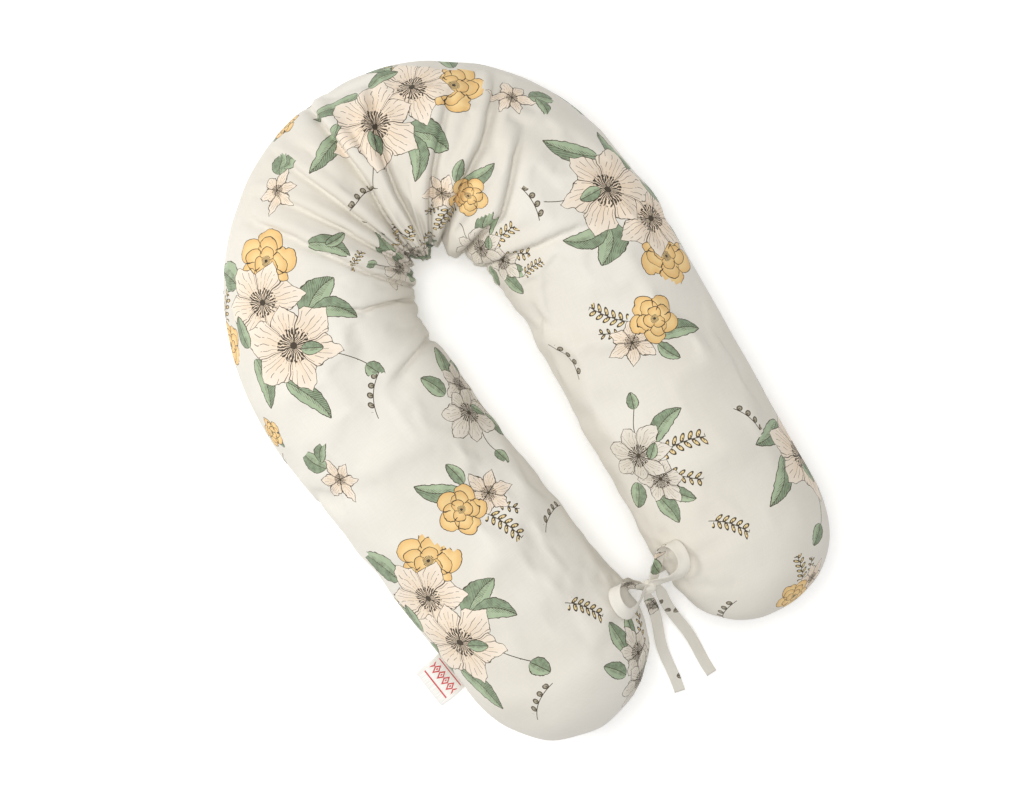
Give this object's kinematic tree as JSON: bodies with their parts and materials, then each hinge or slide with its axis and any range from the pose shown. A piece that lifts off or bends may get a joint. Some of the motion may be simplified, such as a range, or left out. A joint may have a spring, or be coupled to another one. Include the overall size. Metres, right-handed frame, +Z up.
{
  "type": "nursing pillow",
  "caption": "Long fibre-filled body pillow bent into a horseshoe, with a printed zip-off cotton cover and its two ends tied in a bow.",
  "frame": {"origin": "on the floor, under the middle of the object's box", "axes": "+Z up from the floor, +Y from the tied tips towards the bend, +X towards the leg with the zip"},
  "size_m": [0.5354, 0.8314, 0.168],
  "materials": {
    "printed_cotton": "off-white plain-weave cotton with a printed flower pattern",
    "tie_cotton": "flat folded strips of the same printed cotton",
    "casing_cotton": "plain white cotton",
    "fibre": "loose white polyester fibre",
    "zip_tape": "woven off-white zip tape",
    "zip_nylon": "off-white nylon coil",
    "zip_metal": "smooth pale grey",
    "label_satin": "white woven satin"
  },
  "bodies": {
    "pillow_body": {"cover_top_panel": "printed_cotton", "cover_bottom_panel": "printed_cotton", "inner_casing_top": "casing_cotton", "inner_casing_bottom": "casing_cotton", "fibre_filling": "fibre", "zip_tape_upper": "zip_tape", "zip_tape_lower": "zip_tape", "zip_teeth_upper": "zip_nylon", "zip_teeth_lower": "zip_nylon", "zip_top_stop_upper": "zip_metal", "zip_top_stop_lower": "zip_metal", "zip_bottom_stop": "zip_metal", "tie_left_root": "tie_cotton", "tie_right_root": "tie_cotton", "bow_knot": "tie_cotton"},
    "slider": {"zip_slider": "zip_metal"},
    "pull_tab": {"zip_pull_tab": "zip_metal"},
    "left_tail": {"tie_left_tail": "tie_cotton"},
    "right_tail": {"tie_right_tail": "tie_cotton"},
    "left_loop": {"tie_left_loop": "tie_cotton"},
    "right_loop": {"tie_right_loop": "tie_cotton"},
    "brand_flap": {"brand_label": "label_satin"},
    "care_flap": {"care_label": "label_satin"}
  },
  "joints": [
    {"name": "zip_slide", "type": "slide", "parent": "pillow_body", "child": "slider", "axis": [-0.0655, -0.9979, 0], "range_m": [0, 0.2565]},
    {"name": "pull_flip", "type": "hinge", "parent": "slider", "child": "pull_tab", "pos_m": [0.26277, 0.03533, 0.04814], "axis": [0.3804, -0.025, 0.9245], "range_deg": [0, 150]},
    {"name": "left_tail_lift", "type": "hinge", "parent": "pillow_body", "child": "left_tail", "pos_m": [0.00574, -0.28719, 0.1], "axis": [-0.9744, 0.225, 0], "range_deg": [0, 75]},
    {"name": "right_tail_lift", "type": "hinge", "parent": "pillow_body", "child": "right_tail", "pos_m": [0.02424, -0.28719, 0.1], "axis": [-1, 0.0087, 0], "range_deg": [0, 75]},
    {"name": "left_loop_lift", "type": "hinge", "parent": "pillow_body", "child": "left_loop", "pos_m": [0.00822, -0.27812, 0.10931], "axis": [0.2079, 0.9781, 0], "range_deg": [0, 40]},
    {"name": "right_loop_lift", "type": "hinge", "parent": "pillow_body", "child": "right_loop", "pos_m": [0.02044, -0.27771, 0.10887], "axis": [0.2588, -0.9659, 0], "range_deg": [0, 40]},
    {"name": "brand_label_flap", "type": "hinge", "parent": "pillow_body", "child": "brand_flap", "pos_m": [-0.23114, -0.24011, 0.05], "axis": [-0.0915, 0.9958, 0], "range_deg": [-60, 15], "stiffness_Nm_per_rad": 0.004},
    {"name": "care_label_flap", "type": "hinge", "parent": "pillow_body", "child": "care_flap", "pos_m": [-0.24694, -0.06811, 0.05], "axis": [-0.0915, 0.9958, 0], "range_deg": [0, 60]}
  ]
}
